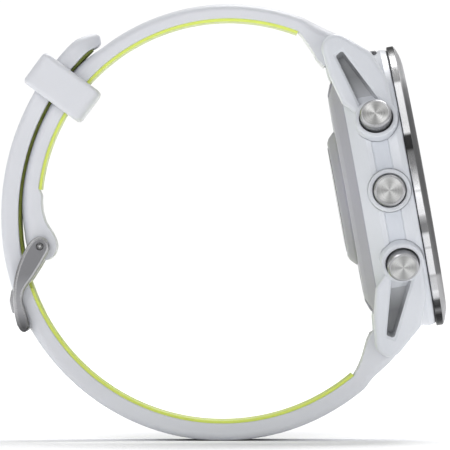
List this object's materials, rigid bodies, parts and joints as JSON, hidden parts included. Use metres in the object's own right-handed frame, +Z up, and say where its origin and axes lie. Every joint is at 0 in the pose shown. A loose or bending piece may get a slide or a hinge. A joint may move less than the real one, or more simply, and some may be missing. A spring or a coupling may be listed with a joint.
{
  "type": "gps running watch",
  "caption": "Round sports watch with side push buttons, a grey sensor back and a white silicone strap with a lime lining, buckled into a standing loop.",
  "frame": {"origin": "on the surface that the buckled watch stands on, below the middle of the strap loop, in the watch's middle plane", "axes": "+X is the side the display faces (the display is tilted 10.3 degrees upwards), +Y runs from the 9 o'clock to the 3 o'clock side, +Z is up, towards 12 o'clock"},
  "size_m": [0.0737, 0.0495, 0.0722],
  "materials": {
    "case_polymer": "fibre-filled white polymer, satin",
    "bezel_metal": "polished band under a brushed slope",
    "button_metal": "spun face, polished edge",
    "lens_glass": "clear coated glass",
    "adhesive_tape": "black tape",
    "display_stack": "dark display",
    "flex_film": "amber film",
    "chassis_plastic": "black moulding",
    "antenna_metal": "stamped strip",
    "board_laminate": "solder mask",
    "chip_resin": "moulded resin",
    "tinned_steel": "tinned sheet",
    "battery_pouch": "laminate pouch",
    "rotor_weight": "sintered weight",
    "contact_gold": "gold plated",
    "cover_grey": "fine matt grey",
    "sensor_grey": "fine matt grey",
    "window_dark": "smoked window",
    "led_resin": "clear resin over a die",
    "port_dark": "black moulding",
    "torch_smoke": "smoked lens",
    "seal_rubber": "black elastomer",
    "strap_white": "satin white silicone",
    "liner_lime": "satin lime silicone",
    "buckle_metal": "blasted centre, polished bevel",
    "screw_steel": "turned steel",
    "spring_steel": "drawn wire"
  },
  "bodies": {
    "watch": {"mid_case": "case_polymer", "bezel_ring": "bezel_metal", "front_gasket": "seal_rubber", "lens_glass": "lens_glass", "lens_adhesive": "adhesive_tape", "display_panel": "display_stack", "display_flex": "flex_film", "chassis_frame": "chassis_plastic", "antenna_ring": "antenna_metal", "main_board": "board_laminate", "board_chips": "chip_resin", "shield_can": "tinned_steel", "battery_cell": "battery_pouch", "motor_can": "tinned_steel", "beeper_disc": "contact_gold", "back_cover": "cover_grey", "back_gasket": "seal_rubber", "back_screws": "screw_steel", "sensor_housing": "sensor_grey", "sensor_window": "window_dark", "sensor_board": "board_laminate", "sensor_leds": "led_resin", "charge_port": "port_dark", "charge_contacts": "contact_gold", "flashlight_lens": "torch_smoke", "flashlight_leds": "led_resin", "button_seals": "seal_rubber", "button_switches": "port_dark", "strap_buckle_side": "strap_white", "liner_buckle_side": "liner_lime", "strap_hole_side": "strap_white", "liner_hole_side": "liner_lime", "buckle_bar": "screw_steel", "upper_bar_tube": "screw_steel", "lower_bar_tube": "screw_steel", "upper_bar_spring": "spring_steel", "lower_bar_spring": "spring_steel", "spring_light": "spring_steel", "spring_up": "spring_steel", "spring_down": "spring_steel", "spring_start": "spring_steel", "spring_back": "spring_steel"},
    "light_button": {"button_light": "button_metal", "clip_light": "spring_steel"},
    "up_button": {"button_up": "button_metal", "clip_up": "spring_steel"},
    "down_button": {"button_down": "button_metal", "clip_down": "spring_steel"},
    "start_button": {"button_start": "button_metal", "clip_start": "spring_steel"},
    "back_button": {"button_back": "button_metal", "clip_back": "spring_steel"},
    "motor_rotor": {"motor_rotor": "rotor_weight"},
    "buckle": {"buckle_frame": "buckle_metal"},
    "tongue": {"buckle_tongue": "buckle_metal"},
    "keeper": {"keeper_loop": "strap_white"},
    "upper_release": {"upper_release_pin": "screw_steel"},
    "lower_release": {"lower_release_pin": "screw_steel"}
  },
  "joints": [
    {"name": "light_press", "type": "slide", "parent": "watch", "child": "light_button", "axis": [0.0812, 0.891, -0.4467], "range_m": [0, 0.0005], "stiffness_N_per_m": 800, "springref_m": -0.0005, "deforming": ["spring_light"]},
    {"name": "up_press", "type": "slide", "parent": "watch", "child": "up_button", "axis": [0, 1, 0], "range_m": [0, 0.0005], "stiffness_N_per_m": 800, "springref_m": -0.0005, "deforming": ["spring_up"]},
    {"name": "down_press", "type": "slide", "parent": "watch", "child": "down_button", "axis": [-0.0812, 0.891, 0.4467], "range_m": [0, 0.0005], "stiffness_N_per_m": 800, "springref_m": -0.0005, "deforming": ["spring_down"]},
    {"name": "start_press", "type": "slide", "parent": "watch", "child": "start_button", "axis": [0.0812, -0.891, -0.4467], "range_m": [0, 0.0005], "stiffness_N_per_m": 800, "springref_m": -0.0005, "deforming": ["spring_start"]},
    {"name": "back_press", "type": "slide", "parent": "watch", "child": "back_button", "axis": [-0.0812, -0.891, 0.4467], "range_m": [0, 0.0005], "stiffness_N_per_m": 800, "springref_m": -0.0005, "deforming": ["spring_back"]},
    {"name": "motor_spin", "type": "hinge", "parent": "watch", "child": "motor_rotor", "pos_m": [0.02115, 0, 0.05164], "axis": [0.9839, 0, 0.1788], "continuous": true},
    {"name": "buckle_hinge", "type": "hinge", "parent": "watch", "child": "buckle", "pos_m": [-0.0306, 0, 0.0321], "axis": [0, 1, 0], "range_deg": [0, 4]},
    {"name": "tongue_hinge", "type": "hinge", "parent": "buckle", "child": "tongue", "pos_m": [-0.0306, 0, 0.0321], "axis": [0, 1, 0], "range_deg": [0, 3]},
    {"name": "keeper_slide", "type": "hinge", "parent": "watch", "child": "keeper", "pos_m": [0.0007, 0, 0.0381], "axis": [0, 1, 0], "range_deg": [-24, 8]},
    {"name": "upper_release_slide", "type": "slide", "parent": "watch", "child": "upper_release", "axis": [0, 1, 0], "range_m": [0, 0.0013], "stiffness_N_per_m": 400, "springref_m": -0.0005, "deforming": ["upper_bar_spring"]},
    {"name": "lower_release_slide", "type": "slide", "parent": "watch", "child": "lower_release", "axis": [0, 1, 0], "range_m": [0, 0.0013], "stiffness_N_per_m": 400, "springref_m": -0.0005, "deforming": ["lower_bar_spring"]}
  ]
}
